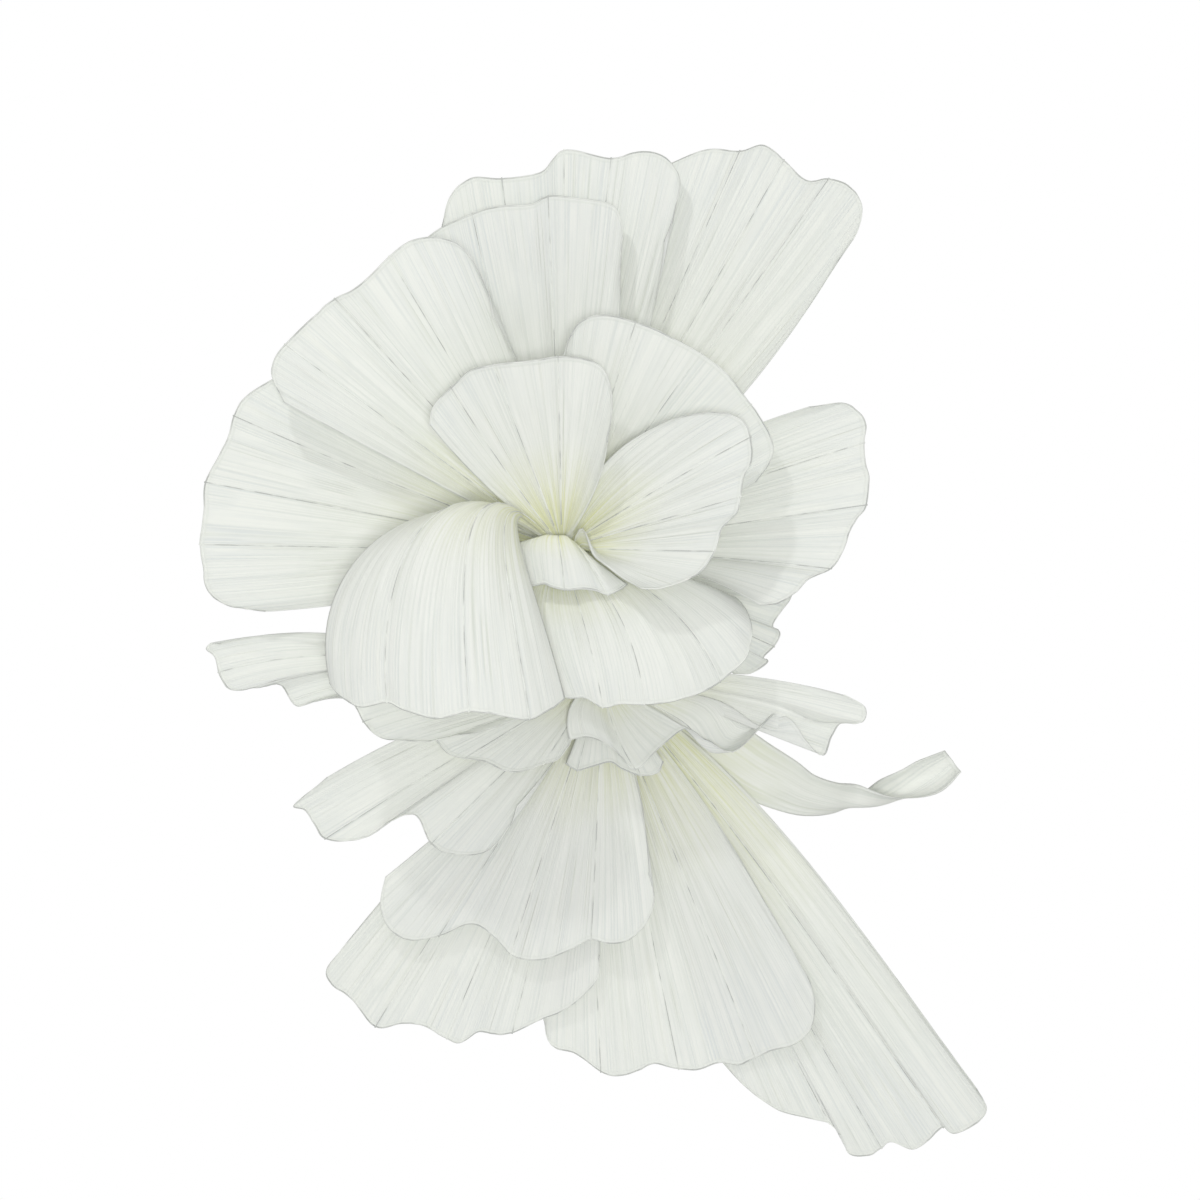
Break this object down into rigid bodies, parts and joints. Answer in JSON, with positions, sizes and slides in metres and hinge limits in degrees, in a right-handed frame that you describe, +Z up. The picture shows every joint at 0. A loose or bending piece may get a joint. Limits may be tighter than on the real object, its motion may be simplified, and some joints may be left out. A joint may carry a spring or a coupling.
{
  "type": "giant paper flower",
  "caption": "Giant wall flower of cupped and curling paper petals, each edged and ribbed with thin wire and taped to two steel tubes that stand on a screwed wall plate.",
  "frame": {"origin": "middle of the wall plate's back face, on the wall", "axes": "+Z up, +Y into the wall, +X to the right for a viewer who faces the flower"},
  "size_m": [1.8053, 0.445, 2.392],
  "materials": {
    "paper": "matt fibrous paper, off-white, tinted yellow-green towards the roots",
    "wire": "dark grey-green covered wire",
    "steel": "bare zinc-plated steel",
    "tape": "crinkled green stem tape"
  },
  "bodies": {
    "root": {"hub_strut": "steel", "lower_hub": "steel", "lower_hub_tape": "tape", "petal_back_right": "paper", "petal_back_top": "paper", "petal_bottom_centre": "paper", "petal_bottom_left": "paper", "petal_bottom_right": "paper", "petal_centre_top": "paper", "petal_front_drooping": "paper", "petal_front_lip": "paper", "petal_left": "paper", "petal_left_ruffled": "paper", "petal_lower_centre": "paper", "petal_lower_left": "paper", "petal_lower_left_middle": "paper", "petal_lower_right": "paper", "petal_lower_right_ruffled": "paper", "petal_lower_ruffle": "paper", "petal_right_curling": "paper", "petal_right_inner": "paper", "petal_right_outer": "paper", "petal_right_small": "paper", "petal_top": "paper", "petal_upper_left": "paper", "petal_upper_right": "paper", "upper_hub": "steel", "upper_hub_tape": "tape", "wall_plate": "steel", "wires_back_right": "wire", "wires_back_top": "wire", "wires_bottom_centre": "wire", "wires_bottom_left": "wire", "wires_bottom_right": "wire", "wires_centre_top": "wire", "wires_front_drooping": "wire", "wires_front_lip": "wire", "wires_left": "wire", "wires_left_ruffled": "wire", "wires_lower_centre": "wire", "wires_lower_left": "wire", "wires_lower_left_middle": "wire", "wires_lower_right": "wire", "wires_lower_right_ruffled": "wire", "wires_lower_ruffle": "wire", "wires_right_inner": "wire", "wires_right_outer": "wire", "wires_right_small": "wire", "wires_top": "wire", "wires_upper_left": "wire", "wires_upper_right": "wire"}
  },
  "joints": []
}
